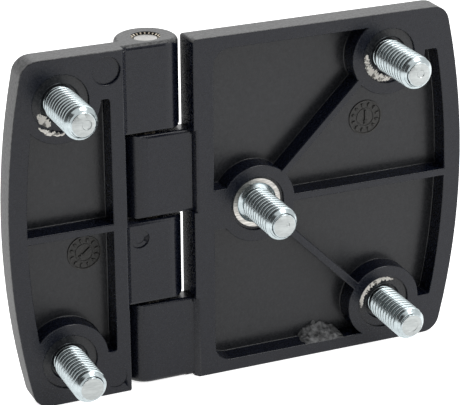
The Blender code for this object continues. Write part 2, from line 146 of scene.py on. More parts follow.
# One flank from the crest to the root: share of the pitch and depth under the crest in mm
THREAD_FLANK = (
    (0.03, 0.0),
    (0.08, 0.01),
    (0.13, 0.035),
    (0.18, 0.08),
    (0.22, 0.14),
    (0.38, 0.48),
    (0.42, 0.54),
    (0.47, 0.57),
)
STUD_REACH = 11.0 * MM
STUD_END_RADIUS = 1.95 * MM
# The rounded end of a stud: distance back from the tip and radius in mm
STUD_END_PROFILE = (
    (0.0, 1.95),
    (0.04, 2.04),
    (0.12, 2.1),
    (0.32, 2.16),
    (0.42, 2.2),
    (0.62, 2.42),
    (0.85, 2.66),
    (1.05, 2.83),
    (1.3, 2.95),
)
# Dents in the studs' ends: place across and up, radius and depth in mm
DENTS = {
    "narrow_stud_upper_thread": (0.55, -0.1, 0.75, 0.16),
    "narrow_stud_lower_thread": (0.0, 0.0, 0.95, 0.04),
    "wide_stud_upper_thread": (0.25, 0.1, 0.6, 0.1),
    "wide_stud_middle_thread": (0.65, 0.2, 0.22, 0.12),
    "wide_stud_lower_thread": (0.0, 0.0, 1.1, 0.05),
}
DENT_WALL = 0.1
STUD_START = 0.3 * MM
HEAD_CENTRE = -2.55 * MM
HEAD_HEIGHT = 1.9 * MM
HEAD_RADIUS = 4.38 * MM
# Profiles about the stud's axis: radius in mm and height over the leaf's back in mm
COLLAR_PROFILE = (
    (3.6, -0.85),
    (3.6, -0.56),
    (3.66, -0.5),
    (4.42, -0.5),
    (4.48, -0.58),
    (4.48, -1.6),
    (3.6, -1.6),
)
GROOVE_PROFILE = (
    (2.0, 0.6),
    (2.44, 0.6),
    (2.44, -0.3),
    (2.6, -0.75),
    (2.95, -1.0),
    (3.25, -1.1),
    (3.5, -1.0),
    (3.62, -0.8),
    (3.62, -1.6),
    (2.0, -1.6),
)
# The moulding on the collars: a narrow ring round the bare one, and a skin over the others
COLLAR_SEAT_PROFILE = ((4.44, -0.56), (4.95, -0.48), (4.95, -0.65), (4.44, -0.65))
SKIN_PROFILE = (
    (2.6, -0.82),
    (3.2, -0.82),
    (3.28, -0.52),
    (3.45, -0.43),
    (4.5, -0.43),
    (4.95, -0.4),
    (4.95, -0.95),
    (2.6, -0.95),
)
SKIN_WAVE = 0.03 * MM

# The pin and its knurl, which has KNURL_TEETH teeth, each with the heights of KNURL_WAVE
PIN_CORE = 2.12 * MM
PIN_CHAMFER = 0.3 * MM
PIN_END_RADIUS = 1.95 * MM
TOOTH_RADII = (2.06 * MM, 2.52 * MM)
TOOTH_WIDTH = 0.34 * MM
TOOTH_RISE = 0.26 * MM
KNURL_DEPTH = 0.33 * MM
LOWER_KNURL = (-15.6 * MM, -0.4 * MM)
UPPER_KNURL_START = 15.5 * MM
KNURL_TEETH = 20
KNURL_WAVE = (1.0, 0.92, 0.25, 0.0, 0.25, 0.92)
KNURL_POINTS = len(KNURL_WAVE)

# The stage. Directions are in degrees: azimuth from straight behind the hinge, positive to the right.
WORLD_LEVEL = 0.8
FLOOR_LIFT = 0.8
FLOOR_REACH = 3.0
FLOOR_GAP = 0.05 * MM
KEY_AZIMUTH = 47.0
KEY_ELEVATION = 20.0
KEY_DISTANCE = 0.6
KEY_SIZE = (0.36, 0.3)
KEY_POWER = 0.48
EDGE_AZIMUTH = 45.0
EDGE_ELEVATION = 58.0
EDGE_DISTANCE = 0.7
EDGE_SIZE = (0.3, 0.25)
EDGE_POWER = 1.3
TOP_AZIMUTH = 157.0
TOP_ELEVATION = 34.0
TOP_DISTANCE = 0.7
TOP_SIZE = (0.5, 0.35)
TOP_POWER = 1.0
FLAG_DISTANCE = 0.55
FLAG_AZIMUTHS = (-62.0, 24.0)
FLAG_ELEVATIONS = (-1.0, 44.0)
FLAG_STEPS = 12

# Vertices closer than MERGE_DISTANCE are one, and edges sharper than SHARP_ANGLE are rounded
MERGE_DISTANCE = 0.001 * MM
SHARP_ANGLE = math.radians(35)
SMOOTH_ANGLE = math.radians(25)


def link(name, mesh):
    """Makes an object of a mesh and puts it in the scene."""
    made = bpy.data.objects.new(name, mesh)
    bpy.context.scene.collection.objects.link(made)
    return made


def to_mesh(shape, name):
    """Turns a bmesh into a mesh that is shaded smooth between its sharp edges, and frees it."""
    bmesh.ops.recalc_face_normals(shape, faces=shape.faces)
    mesh = bpy.data.meshes.new(name)
    shape.to_mesh(mesh)
    shape.free()
    mesh.shade_smooth()
    mesh.set_sharp_from_angle(angle=SMOOTH_ANGLE)
    return mesh


def disc_cutter(name, x, z, radius, low, high, sides=48):
    """A short round bar along Y, used as a cutter."""
    shape = bmesh.new()
    bmesh.ops.create_cone(
        shape, cap_ends=True, segments=sides, radius1=radius, radius2=radius, depth=high - low
    )
    place = Matrix.Translation((x, (low + high) / 2, z)) @ Matrix.Rotation(math.pi / 2, 4, "X")
    bmesh.ops.transform(shape, matrix=place, verts=shape.verts)
    return link(name, to_mesh(shape, name))


def cut(target, cutter):
    """Cuts the cutter out of the target at once and throws the cutter away."""
    modifier = target.modifiers.new(cutter.name, "BOOLEAN")
    modifier.operation = "DIFFERENCE"
    modifier.solver = "MANIFOLD"
    modifier.object = cutter
    bpy.context.view_layer.update()
    graph = bpy.context.evaluated_depsgraph_get()
    result = bpy.data.meshes.new_from_object(target.evaluated_get(graph))
    target.modifiers.clear()
    target.data = result
    bpy.data.objects.remove(cutter, do_unlink=True)


def edge_lies_at(edge, y):
    return all(abs(vertex.co.y - y) < 2 * MERGE_DISTANCE for vertex in edge.verts)


def sharp_edges(shape):
    return [edge for edge in shape.edges if edge.is_manifold and edge.calc_face_angle(0.0) > SHARP_ANGLE]


def round_edges(shape, edges, radius, segments, clamped=True):
    """Rounds edges. Where clamped, the radius shrinks until no two roundings overlap."""
    bmesh.ops.bevel(
        shape,
        geom=edges,
        offset=radius,
        segments=segments,
        profile=0.5,
        affect="EDGES",
        clamp_overlap=clamped,
    )


def clean(shape):
    """Merges doubled vertices and joins the flat facets that cuts leave behind."""
    bmesh.ops.remove_doubles(shape, verts=shape.verts, dist=MERGE_DISTANCE)
    bmesh.ops.dissolve_limit(shape, angle_limit=math.radians(0.2), verts=shape.verts, edges=shape.edges)


def copied_leaf(node, name):
    """A copy of a leaf's solid, to be rounded and painted."""
    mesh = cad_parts[node].data.copy()
    mesh.materials.clear()
    mesh.name = name
    shape = bmesh.new()
    shape.from_mesh(mesh)
    bmesh.ops.remove_doubles(shape, verts=shape.verts, dist=MERGE_DISTANCE)
    shape.to_mesh(mesh)
    shape.free()
    return link(name, mesh)


def is_deep_enough(edge):
    """Whether an edge lies clear of the marks that are too shallow for a rounded rim."""
    middle = (edge.verts[0].co + edge.verts[1].co) / 2
    for x, z, radius, _, depth in RECESSES["narrow_leaf"]:
        is_near = math.hypot(middle.x - x * MM, middle.z - z * MM) < (radius + MARK_MARGIN) * MM
        if is_near and depth * MM < 2 * RIM_ROUNDING:
            return False
    return True


def fillet_leaf(leaf):
    """Rounds the edges that the mould rounds: pocket floors, the rims of the back and the knuckles."""
    shape = bmesh.new()
    shape.from_mesh(leaf.data)
    clean(shape)
    floor = [edge for edge in sharp_edges(shape) if edge_lies_at(edge, FLOOR_Y)]
    round_edges(shape, floor, FLOOR_FILLET, 4)
    rims = [edge for edge in sharp_edges(shape) if edge_lies_at(edge, BACK_Y) and is_deep_enough(edge)]
    round_edges(shape, rims, RIM_ROUNDING, 3, clamped=False)
    if "narrow" in leaf.name:
        steps = [edge for edge in sharp_edges(shape) if edge_lies_at(edge, KNUCKLE_BACK_Y)]
        round_edges(shape, steps, STEP_ROUNDING, 2)
    leaf.data = to_mesh(shape, leaf.name)


def even_shading(piece):
    """Keeps flat faces flat beside their rounded edges."""
    piece.modifiers.new("even_shading", "WEIGHTED_NORMAL").keep_sharp = True


def close_bar(shape, lower, upper):
    """Adds the ends and the sides of a closed bar between two matching loops of vertices."""
    shape.faces.new(lower)
    shape.faces.new(list(reversed(upper)))
    count = len(lower)
    for index in range(count):
        after = (index + 1) % count
        shape.faces.new((lower[index], upper[index], upper[after], lower[after]))


def extruded(name, outline, low, high):
    """A closed bar along Z with an outline of points in XY."""
    shape = bmesh.new()
    lower = [shape.verts.new((x, y, low)) for x, y in outline]
    upper = [shape.verts.new((x, y, high)) for x, y in outline]
    close_bar(shape, lower, upper)
    return link(name, to_mesh(shape, name))


def round_barrel(leaf, side, rounding, low, high):
    """Rounds the edge between a knuckle's flat back and its barrel, on the side away from the leaf.

    The rounding touches the flat back and the barrel, whose centre is the pin.
    """
    centre_y = KNUCKLE_BACK_Y + rounding + 2 * MERGE_DISTANCE
    centre_x = math.sqrt((BARREL_RADIUS - rounding) ** 2 - centre_y**2)
    end = math.atan2(centre_y, centre_x)
    outline = []
    for step in range(ROUNDING_STEPS + 1):
        angle = -math.pi / 2 + (end + math.pi / 2) * step / ROUNDING_STEPS
        x = centre_x + rounding * math.cos(angle)
        outline.append((side * x, centre_y + rounding * math.sin(angle)))
    reach = BARREL_RADIUS + MM
    outline.append((side * reach * math.cos(end), reach * math.sin(end)))
    outline.append((side * reach, -reach))
    outline.append((side * centre_x, -reach))
    cut(leaf, extruded("rounding", outline, low, high))


def round_root_corner(leaf, side, wall, draft, radius):
    """Rounds the free corner of a leaf's root: the wide leaf's upper one or the narrow leaf's lower one."""
    outline = [(-MM, MM), (-MM, -radius)]
    for step in range(ROUNDING_STEPS + 1):
        angle = math.pi / 2 * step / ROUNDING_STEPS
        outline.append((radius * (1 - math.cos(angle)), radius * (math.sin(angle) - 1)))
    outline.append((radius, MM))
    shape = bmesh.new()
    ends = []
    for y in (BACK_Y - MM, ROOT_FRONT_Y + MM):
        start = wall + draft * (ROOT_FRONT_Y - y)
        ends.append([shape.verts.new((side * (start + x), y, side * (HALF_HEIGHT + z))) for x, z in outline])
    close_bar(shape, *ends)
    cut(leaf, link("corner_rounding", to_mesh(shape, "corner_rounding")))


def barrel_outline(start, rounding):
    """Points of a knuckle's outline and their outward directions, from its flat back to the front."""
    centre_y = KNUCKLE_BACK_Y + rounding
    centre_x = math.sqrt((BARREL_RADIUS - rounding) ** 2 - centre_y**2)
    end = math.atan2(centre_y, centre_x)
    outline = [(Vector((start, KNUCKLE_BACK_Y)), Vector((0.0, -1.0)))]
    for step in range(ROUNDING_STEPS + 1):
        angle = -math.pi / 2 + (end + math.pi / 2) * step / ROUNDING_STEPS
        out = Vector((math.cos(angle), math.sin(angle)))
        outline.append((Vector((centre_x, centre_y)) + out * rounding, out))
    steps = 4 * ROUNDING_STEPS
    for step in range(1, steps + 1):
        angle = end + (OUTLINE_END - end) * step / steps
        out = Vector((math.cos(angle), math.sin(angle)))
        outline.append((out * BARREL_RADIUS, out))
    return outline


def round_knuckle_end(leaf, rounding, turned):
    """Rounds the outer end of the knuckle at the top of the hinge, or at its bottom where turned."""
    shape = bmesh.new()
    section = [(-END_ROUNDING, HALF_HEIGHT + MM)]
    for step in range(ROUNDING_STEPS + 1):
        angle = math.pi / 2 * step / ROUNDING_STEPS
        height = HALF_HEIGHT + END_ROUNDING * (math.cos(angle) - 1)
        section.append((END_ROUNDING * (math.sin(angle) - 1), height))
    section += [(MM, HALF_HEIGHT - END_ROUNDING), (MM, HALF_HEIGHT + MM)]
    rings = []
    for point, out in barrel_outline(FLAT_START, rounding):
        places = [(point + out * offset, height) for offset, height in section]
        rings.append([shape.verts.new((place.x, place.y, height)) for place, height in places])
    for ring, following in zip(rings, rings[1:]):
        for index in range(len(ring)):
            after = (index + 1) % len(ring)
            shape.faces.new((ring[index], ring[after], following[after], following[index]))
    shape.faces.new(rings[0])
    shape.faces.new(list(reversed(rings[-1])))
    if turned:
        bmesh.ops.rotate(shape, verts=shape.verts, matrix=Matrix.Rotation(math.pi, 3, "Y"))
    cut(leaf, link("end_rounding", to_mesh(shape, "end_rounding")))


def is_outside(point, normal):
    """Whether a face lies on the front or the outer sides of the hinge, which are grained and get a painted
    sheen.
    """
    if normal.y > 0.3:
        return True
    if abs(normal.y) > 0.8:
        return False
    reach, bow = (WIDE_REACH, WIDE_BOW_RADIUS) if point.x > 0 else (NARROW_REACH, NARROW_BOW_RADIUS)
    end = reach - bow + math.sqrt(bow**2 - point.z**2)
    return abs(point.x) > end - SKIN_DEPTH or abs(point.z) > HALF_HEIGHT - SKIN_DEPTH


def paint_leaf(leaf, materials):
    """Gives the grain with its painted sheen to the outside of a leaf and the smooth moulding to the rest.
    """
    leaf.data.materials.append(materials["moulding"])
    leaf.data.materials.append(materials["grain_and_sheen"])
    for face in leaf.data.polygons:
        face.material_index = 1 if is_outside(face.center, face.normal) else 0


def add_lathed(shape, profile, sides=64, material=0):
    """Adds a closed ring about local Z with a profile of (radius, height) points in mm."""
    rings = []
    for radius, height in profile:
        ring = []
        for side in range(sides):
            angle = 2 * math.pi * side / sides
            place = (radius * MM * math.cos(angle), radius * MM * math.sin(angle), height * MM)
            ring.append(shape.verts.new(place))
        rings.append(ring)
    for ring, following in zip(rings, rings[1:] + rings[:1]):
        for side in range(sides):
            after = (side + 1) % sides
            face = shape.faces.new((ring[side], ring[after], following[after], following[side]))
            face.material_index = material


def thread_rows():
    """(share of the pitch, depth under the crest) of the points along one turn of the thread."""
    rows = [(share, depth * MM) for share, depth in THREAD_FLANK]
    rows += [(1 - share, depth) for share, depth in reversed(rows)]
    return rows


def end_radius(distance):
    """The largest radius that the stud's rounded end allows, at a distance back from its tip."""
    for (start, low), (end, high) in zip(STUD_END_PROFILE, STUD_END_PROFILE[1:]):
        if distance < end * MM:
            return MM * (low + (high - low) * (distance / MM - start) / (end - start))
    return THREAD_RADIUS


def thread_mesh(start, length):
    """A right-hand thread about local Z, from start up to length, closed at both ends."""
    shape = bmesh.new()
    rows = thread_rows()
    first_turn = math.floor(start / PITCH) - 1
    last_turn = math.ceil(length / PITCH)
    rings = []
    for turn in range(first_turn, last_turn + 1):
        for share, depth in rows:
            ring = []
            for side in range(THREAD_SIDES):
                angle = 2 * math.pi * side / THREAD_SIDES
                height = (turn + share + side / THREAD_SIDES) * PITCH
                height = min(max(height, start), length)
                radius = min(THREAD_RADIUS - depth, end_radius(length - height))
                if height <= start:
                    radius = THREAD_RADIUS - THREAD_DEPTH
                ring.append(shape.verts.new((radius * math.cos(angle), radius * math.sin(angle), height)))
            rings.append(ring)
    # Once round the helix a row meets the same row of the next turn.
    count = len(rows)
    for index in range(len(rings) - 1):
        for side in range(THREAD_SIDES):
            after = side + 1
            shift = 0
            if after == THREAD_SIDES:
                after = 0
                shift = count
            if index + 1 + shift >= len(rings):
                continue
            corners = [
                rings[index][side],
                rings[index + shift][after],
                rings[index + 1 + shift][after],
                rings[index + 1][side],
            ]
            shape.faces.new(corners)
    bmesh.ops.remove_doubles(shape, verts=shape.verts, dist=MERGE_DISTANCE)
    bmesh.ops.dissolve_degenerate(shape, dist=MERGE_DISTANCE, edges=shape.edges)
    rims = [edge for edge in shape.edges if edge.is_boundary]
    bmesh.ops.holes_fill(shape, edges=rims, sides=0)
    return shape


def place_at_stud(piece, x, z):
    """Turns a piece made about local Z so that Z points out of the back, at a stud's place."""
    piece.matrix_world = Matrix.Translation((x, BACK_Y, z)) @ Matrix.Rotation(math.pi / 2, 4, "X")


def dent_end(shape, across, along, radius, depth):
    """Sinks a shallow dent into the flat end of a stud, at a place given in mm."""
    ends = [face for face in shape.faces if face.calc_center_median().z > STUD_REACH - MERGE_DISTANCE]
    end = max(ends, key=lambda face: face.calc_area())
    end.material_index = 1
    bmesh.ops.inset_individual(shape, faces=[end], thickness=STUD_END_RADIUS - (radius + DENT_WALL) * MM)
    move = Vector((across, along, 0.0)) * MM
    bmesh.ops.translate(shape, verts=end.verts, vec=move)
    bmesh.ops.inset_individual(shape, faces=[end], thickness=DENT_WALL * MM, depth=-depth * MM)


def add_stud(name, x, z, body, materials):
    """A threaded stud with the collar and the hexagonal head that hold it in the moulding."""
    shape = thread_mesh(STUD_START, STUD_REACH)
    dent_end(shape, *DENTS[name])
    add_lathed(shape, COLLAR_PROFILE, material=2)
    add_lathed(shape, GROOVE_PROFILE)
    head_place = Matrix.Translation((0.0, 0.0, HEAD_CENTRE))
    bmesh.ops.create_cone(
        shape,
        cap_ends=True,
        segments=6,
        radius1=HEAD_RADIUS,
        radius2=HEAD_RADIUS,
        depth=HEAD_HEIGHT,
        matrix=head_place,
    )
    stud = link(name, to_mesh(shape, name))
    place_at_stud(stud, x, z)
    stud.data.materials.append(materials["zinc"])
    stud.data.materials.append(materials["zinc_face"])
    stud.data.materials.append(materials["collar"])
    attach(stud, body)
    return stud


def add_skin(name, profile, x, z, body, materials):
    """The thin black ring of moulding on or round a stud's collar, a little under the boss's face."""
    shape = bmesh.new()
    add_lathed(shape, profile)
    for vertex in shape.verts:
        vertex.co.z += SKIN_WAVE * noise.noise(vertex.co / MM * 0.7 + Vector((x, z, 0.0)) / MM)
    skin = link(name, to_mesh(shape, name))
    place_at_stud(skin, x, z)
    skin.data.materials.append(materials["moulding"])
    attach(skin, body)


def add_residue(name, x, z, level, start, end, inner, outer, body, materials):
    """A ragged pale flake round a stud, at a height over the leaf's back, between two angles."""
    shape = bmesh.new()
    steps = max(8, int(abs(end - start) / FLAKE_STEP))
    rails = []
    for step in range(steps + 1):
        angle = math.radians(start + (end - start) * step / steps)
        taper = math.sin(math.pi * (step + 0.6) / (steps + 1.2)) ** 0.5
        seed = Vector((x / MM, z / MM, step * 0.6))
        middle = (inner + outer) / 2 + 0.25 * noise.noise(seed)
        half = (outer - inner) / 2 * taper * (0.95 + 0.9 * noise.noise(seed * 1.7))
        rail = []
        for radius, height in ((middle - half, 0.0), (middle, FLAKE_CREST), (middle + half, 0.0)):
            along = Vector((math.cos(angle), math.sin(angle), 0.0)) * radius
            rail.append(shape.verts.new((along + Vector((0.0, 0.0, height + level))) * MM))
        rails.append(rail)
    for rail, following in zip(rails, rails[1:]):
        for low, high in ((0, 1), (1, 2), (2, 0)):
            shape.faces.new((rail[low], rail[high], following[high], following[low]))
    shape.faces.new(rails[0])
    shape.faces.new(list(reversed(rails[-1])))
    flake = link(name, to_mesh(shape, name))
    place_at_stud(flake, x, z)
    flake.data.materials.append(materials["residue"])
    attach(flake, body)


def add_tooth(shape, angle, top):
    """A tooth of the knurl that stands a little over the pin's end, against the wall of the bore."""
    turn = Matrix.Rotation(angle, 4, "Z")
    inner, outer = TOOTH_RADII
    half = TOOTH_WIDTH / 2
    section = ((inner, -half * 0.5), (outer, -half), (outer, half), (inner, half * 0.5))
    lower = [shape.verts.new(turn @ Vector((x, y, top - 2 * TOOTH_RISE))) for x, y in section]
    upper = [shape.verts.new(turn @ Vector((x, y, top + TOOTH_RISE))) for x, y in section]
    for vertex in (upper[0], upper[3]):
        vertex.co.z -= TOOTH_RISE * 0.7
    close_bar(shape, lower, upper)


def add_pin(materials):
    """The pin: knurled where the narrow leaf grips it, plain where the wide leaf turns on it."""
    low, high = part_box("hinge_pin")
    bottom = low[2]
    top = high[2]
    shape = bmesh.new()
    rows = [(bottom, PIN_CORE - PIN_CHAMFER, 0.0), (bottom + PIN_CHAMFER, PIN_CORE, 0.0)]
    for start, end in (LOWER_KNURL, (UPPER_KNURL_START, top)):
        rows += [(start, PIN_CORE, 0.0), (start + PIN_CHAMFER, PIN_CORE, KNURL_DEPTH)]
        if end < top:
            rows += [(end - PIN_CHAMFER, PIN_CORE, KNURL_DEPTH), (end, PIN_CORE, 0.0)]
    rows += [
        (top - 0.3 * MM, PIN_CORE, KNURL_DEPTH),
        (top - 0.25 * MM, PIN_CORE - 0.08 * MM, 0.0),
        (top - 0.05 * MM, PIN_END_RADIUS + 0.04 * MM, 0.0),
        (top, PIN_END_RADIUS, 0.0),
    ]
    sides = KNURL_TEETH * KNURL_POINTS
    rings = []
    for height, core, depth in rows:
        ring = []
        for side in range(sides):
            angle = 2 * math.pi * side / sides
            wave = KNURL_WAVE[side % KNURL_POINTS]
            radius = core + depth * wave
            ring.append(shape.verts.new((radius * math.cos(angle), radius * math.sin(angle), height)))
        rings.append(ring)
    end_face = len(rings) - 2
    for index, (ring, following) in enumerate(zip(rings, rings[1:])):
        for side in range(sides):
            after = (side + 1) % sides
            face = shape.faces.new((ring[side], ring[after], following[after], following[side]))
            face.material_index = 1 if index >= end_face else 0
    shape.faces.new(rings[0])
    shape.faces.new(rings[-1]).material_index = 1
    for tooth in range(KNURL_TEETH):
        add_tooth(shape, 2 * math.pi * tooth / KNURL_TEETH, top)
    pin = link("knurled_pin", to_mesh(shape, "knurled_pin"))
    pin.data.materials.append(materials["pin"])
    pin.data.materials.append(materials["pin_end"])
    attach(pin, "frame_side")
    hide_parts("hinge_pin")


def add_bar(shape, centre, angle, length, width, high):
    """A bar on the dial from DIAL_FOOT up to a height, a little narrower at the top, lengths in mm."""
    turn = Matrix.Rotation(angle, 4, "Z")
    lower = []
    upper = []
    for along, across in ((-1, -1), (1, -1), (1, 1), (-1, 1)):
        corner = turn @ Vector((along * length / 2, across * width / 2, 0.0))
        lower.append(shape.verts.new((centre + corner + Vector((0.0, 0.0, DIAL_FOOT))) * MM))
        corner = turn @ Vector((along * (length / 2 - 0.05), across * (width / 2 - 0.05), 0.0))
        upper.append(shape.verts.new((centre + corner + Vector((0.0, 0.0, high))) * MM))
    close_bar(shape, lower, upper)


def add_dial(name, x, z, radius, pointer, body, materials):
    """A mould's date dial: raised rings, strokes for each month and a pointer, without lettering."""
    shape = bmesh.new()
    add_lathed(shape, ((0.02, -0.04), (0.02, 0.035), (radius - 0.2, 0.035), (radius - 0.1, -0.04)))
    for outer, width, height in ((radius, 0.32, 0.2), (radius * 0.54, 0.24, 0.14)):
        add_lathed(
            shape,
            (
                (outer - width, DIAL_FOOT),
                (outer - width + 0.06, height),
                (outer - 0.06, height),
                (outer, DIAL_FOOT),
            ),
        )
    for tick in range(DIAL_TICKS):
        angle = 2 * math.pi * (tick + 0.5) / DIAL_TICKS
        centre = Vector((math.cos(angle), math.sin(angle), 0.0)) * radius * 0.73
        add_bar(shape, centre, angle, 0.75, 0.34, 0.24)
        lean = math.pi / 2 if tick % 3 else 0.6
        add_bar(shape, centre, angle + lean, 0.62, 0.26, 0.2)
    along = math.radians(pointer)
    heading = Vector((math.cos(along), math.sin(along), 0.0))
    add_bar(shape, heading * 0.1, along, radius * 0.8, 0.3, 0.28)
    for side in (-1, 1):
        barb = -heading * radius * 0.26
        add_bar(shape, barb, along + side * 0.75, radius * 0.3, 0.26, 0.26)
    dial = link(name, to_mesh(shape, name))
    turn = Matrix.Rotation(math.pi / 2, 4, "X")
    dial.matrix_world = Matrix.Translation((x * MM, FLOOR_Y, z * MM)) @ turn
    dial.data.materials.append(materials["dial"])
    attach(dial, body)


def add_gate_remnant(materials):
    """The rough stub where the moulding was torn off its runner, in the corner of a pocket."""
    shape = bmesh.new()
    columns = []
    for column in range(GATE_COLUMNS + 1):
        share = column / GATE_COLUMNS
        x = GATE_START + (GATE_END - GATE_START) * share
        size = math.sin(math.pi * share) ** 0.6 * (1.0 - 0.45 * share)
        points = []
        for y, rise in GATE_SECTION:
            seed = Vector((x * 0.9, y * 1.1, 3.0))
            rough = 0.9 * noise.noise(seed * 1.3) + 0.6 * noise.noise(seed * 3.1)
            height = max(rise * size + rough * size, -0.05)
            sway = 0.45 * noise.noise(seed * 2.3 + Vector((7.0, 0.0, 0.0)))
            points.append(shape.verts.new((MM * (x + sway), MM * y, MM * (GATE_WALL_Z + height))))
        for y, rise in GATE_FOOT:
            points.append(shape.verts.new((MM * x, MM * y, MM * (GATE_WALL_Z + rise))))
        columns.append(points)
    for points, following in zip(columns, columns[1:]):
        for index in range(len(points)):
            after = (index + 1) % len(points)
            shape.faces.new((points[index], points[after], following[after], following[index]))
    shape.faces.new(columns[0])
    shape.faces.new(list(reversed(columns[-1])))
    gate = link("gate_remnant", to_mesh(shape, "gate_remnant"))
    gate.data.materials.append(materials["torn"])
    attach(gate, "door_side")


class Nodes:
    """A short way to lay out a material's nodes and link them."""

    def __init__(self, name):
        self.material = bpy.data.materials.new(name)
        self.material.use_nodes = True
        self.tree = self.material.node_tree
        self.shader = self.tree.nodes["Principled BSDF"]
        self.place = self.add("ShaderNodeTexCoord").outputs["Object"]

    def add(self, kind, **settings):
        node = self.tree.nodes.new(kind)
        for key, value in settings.items():
            if key in node.inputs:
                node.inputs[key].default_value = value
            else:
                setattr(node, key, value)
        return node

    def link(self, output, target):
        self.tree.links.new(output, target)

    def noise(self, scale, detail=2.0):
        node = self.add("ShaderNodeTexNoise", Scale=scale, Detail=detail)
        self.link(self.place, node.inputs["Vector"])
        return node.outputs["Fac"]

    def ramp(self, factor, *stops):
        node = self.add("ShaderNodeValToRGB")
        elements = node.color_ramp.elements
        while len(elements) < len(stops):
            elements.new(0.5)
        for element, (position, colour) in zip(elements, stops):
            element.position = position
            element.color = (*colour, 1.0)
        self.link(factor, node.inputs["Fac"])
        return node.outputs["Color"]

    def share_along(self, axis, start, end):
        """0 before start and 1 after end, along one axis of the object."""
        split = self.add("ShaderNodeSeparateXYZ")
        self.link(self.place, split.inputs["Vector"])
        share = self.add("ShaderNodeMapRange")
        share.inputs["From Min"].default_value = start
        share.inputs["From Max"].default_value = end
        self.link(split.outputs[axis], share.inputs["Value"])
        return share.outputs["Result"]

    def mixed(self, factor, first, second):
        node = self.add("ShaderNodeMix", data_type="RGBA")
        self.link(factor, node.inputs["Factor"])
        self.link(first, node.inputs["A"])
        self.link(second, node.inputs["B"])
        return node.outputs["Result"]

    def bump(self, height, strength, distance):
        node = self.add("ShaderNodeBump", Strength=strength, Distance=distance)
        self.link(height, node.inputs["Height"])
        self.link(node.outputs["Normal"], self.shader.inputs["Normal"])


def grey(value):
    return (value, value, value)


def add_moulding_material():
    """The smooth back of the moulding, with paler, warmer pocket floors."""
    nodes = Nodes("black_moulding")
    back = nodes.ramp(nodes.noise(1600, 6.0), (0.3, (0.001, 0.002, 0.0075)), (0.7, (0.006, 0.0075, 0.014)))
    floor = nodes.ramp(nodes.noise(1300, 6.0), (0.3, (0.009, 0.010, 0.0125)), (0.7, (0.024, 0.0252, 0.028)))
    depth = nodes.share_along("Y", FLOOR_Y - 0.25 * MM, FLOOR_Y - 0.1 * MM)
    nodes.link(nodes.mixed(depth, back, floor), nodes.shader.inputs["Base Color"])
    rough = nodes.ramp(nodes.noise(2400, 3.0), (0.3, grey(0.22)), (0.7, grey(0.32)))
    nodes.link(rough, nodes.shader.inputs["Roughness"])
    nodes.shader.inputs["Specular IOR Level"].default_value = 0.34
    nodes.bump(nodes.noise(3000, 5.0), 0.4, 0.02 * MM)
    return nodes.material


def add_grain_and_painted_sheen_material():
    """The outer sides and the front, which the mould gives a fine spark-eroded grain. Their paler base
    colour is also painted sheen, standing in for the grazing reflection of the bright surround.
    """
    nodes = Nodes("grained_moulding_painted_sheen")
    grain_and_sheen = nodes.noise(2100, 6.0)
    # The paler end of this ramp is partly painted sheen: it brightens the outer sides the way their grazing
    # reflection does.
    colour = nodes.ramp(grain_and_sheen, (0.38, (0.006, 0.0065, 0.007)), (0.62, (0.085, 0.0865, 0.088)))
    nodes.link(colour, nodes.shader.inputs["Base Color"])
    rough = nodes.ramp(grain_and_sheen, (0.3, grey(0.42)), (0.7, grey(0.56)))
    nodes.link(rough, nodes.shader.inputs["Roughness"])
    nodes.bump(grain_and_sheen, 0.7, 0.08 * MM)
    return nodes.material


def add_dark_variant(name, low, high, scale):
    """Moulding that is duller than the back around it, for the dials and the torn gate."""
    nodes = Nodes(name)
    patches = nodes.noise(scale, 6.0)
    nodes.link(nodes.ramp(patches, (0.35, low), (0.65, high)), nodes.shader.inputs["Base Color"])
    rough = nodes.ramp(patches, (0.3, grey(0.5)), (0.7, grey(0.65)))
    nodes.link(rough, nodes.shader.inputs["Roughness"])
    nodes.bump(patches, 0.6, 0.05 * MM)
    return nodes.material


def add_zinc_material():
    """Bright zinc plate, a little uneven in colour and gloss."""
    nodes = Nodes("zinc_plated_steel")
    colour = nodes.ramp(nodes.noise(1500, 4.0), (0.3, (0.39, 0.445, 0.46)), (0.7, (0.49, 0.55, 0.565)))
    nodes.link(colour, nodes.shader.inputs["Base Color"])
    nodes.shader.inputs["Metallic"].default_value = 1.0
    rough = nodes.ramp(nodes.noise(1200), (0.3, grey(0.17)), (0.7, grey(0.25)))
    nodes.link(rough, nodes.shader.inputs["Roughness"])
    nodes.bump(nodes.noise(1500), 0.08, 0.01 * MM)
    return nodes.material


def add_scratched_material(name, low, high):
    """A duller, warmer metal face with fine scratches across: sawn stud ends, the collar, the pin's end."""
    nodes = Nodes(name)
    stretched = nodes.add("ShaderNodeMapping")
    stretched.inputs["Scale"].default_value = (1.0, 9.0, 1.0)
    stretched.inputs["Rotation"].default_value = (0.0, 0.0, 0.6)
    nodes.link(nodes.place, stretched.inputs["Vector"])
    scratches = nodes.add("ShaderNodeTexNoise", Scale=600.0, Detail=5.0)
    nodes.link(stretched.outputs["Vector"], scratches.inputs["Vector"])
    colour = nodes.ramp(scratches.outputs["Fac"], (0.35, low), (0.65, high))
    nodes.link(colour, nodes.shader.inputs["Base Color"])
    nodes.shader.inputs["Metallic"].default_value = 1.0
    rough = nodes.ramp(nodes.noise(1200), (0.3, grey(0.3)), (0.7, grey(0.4)))
    nodes.link(rough, nodes.shader.inputs["Roughness"])
    nodes.bump(scratches.outputs["Fac"], 0.3, 0.01 * MM)
    return nodes.material


